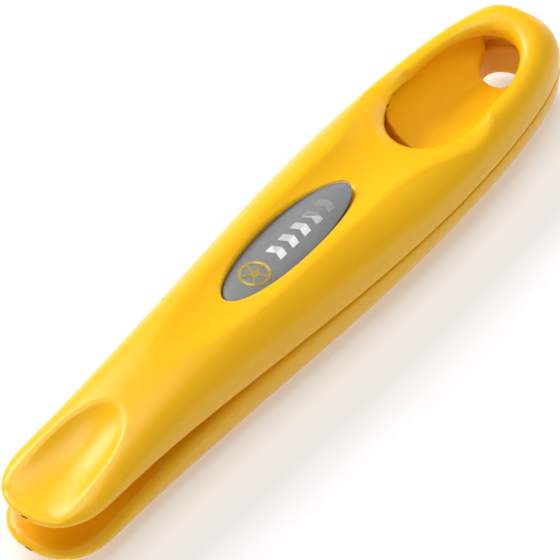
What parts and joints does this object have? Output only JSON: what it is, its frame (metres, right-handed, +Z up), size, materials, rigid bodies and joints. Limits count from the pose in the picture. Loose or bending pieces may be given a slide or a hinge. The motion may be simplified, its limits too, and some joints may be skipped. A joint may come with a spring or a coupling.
{
  "type": "tyre lever pair",
  "caption": "Pair of hollow moulded tyre levers clipped face to face, with scooped tips, a thumb trough, an oval badge and a rolled hanging loop over a spoke hole.",
  "frame": {"origin": "middle of the underside, on the plane the pair rests on", "axes": "+X along the levers from the scooped tips to the loop end, +Y across, +Z up through the upper lever and its badge"},
  "size_m": [0.123, 0.025, 0.0171],
  "materials": {
    "lever_plastic": "satin yellow-orange moulded nylon with a fine mould texture",
    "badge_grey": "mid grey printed badge plate",
    "badge_clear": "clear domed resin, glossy"
  },
  "bodies": {
    "lower": {"lower_lever": "lever_plastic"},
    "upper": {"upper_lever": "lever_plastic", "badge_plate": "badge_grey", "badge_dome": "badge_clear"}
  },
  "joints": [
    {"name": "upper_lever_lift", "type": "slide", "parent": "lower", "child": "upper", "axis": [0, 0, 1], "range_m": [0, 0.03]}
  ]
}
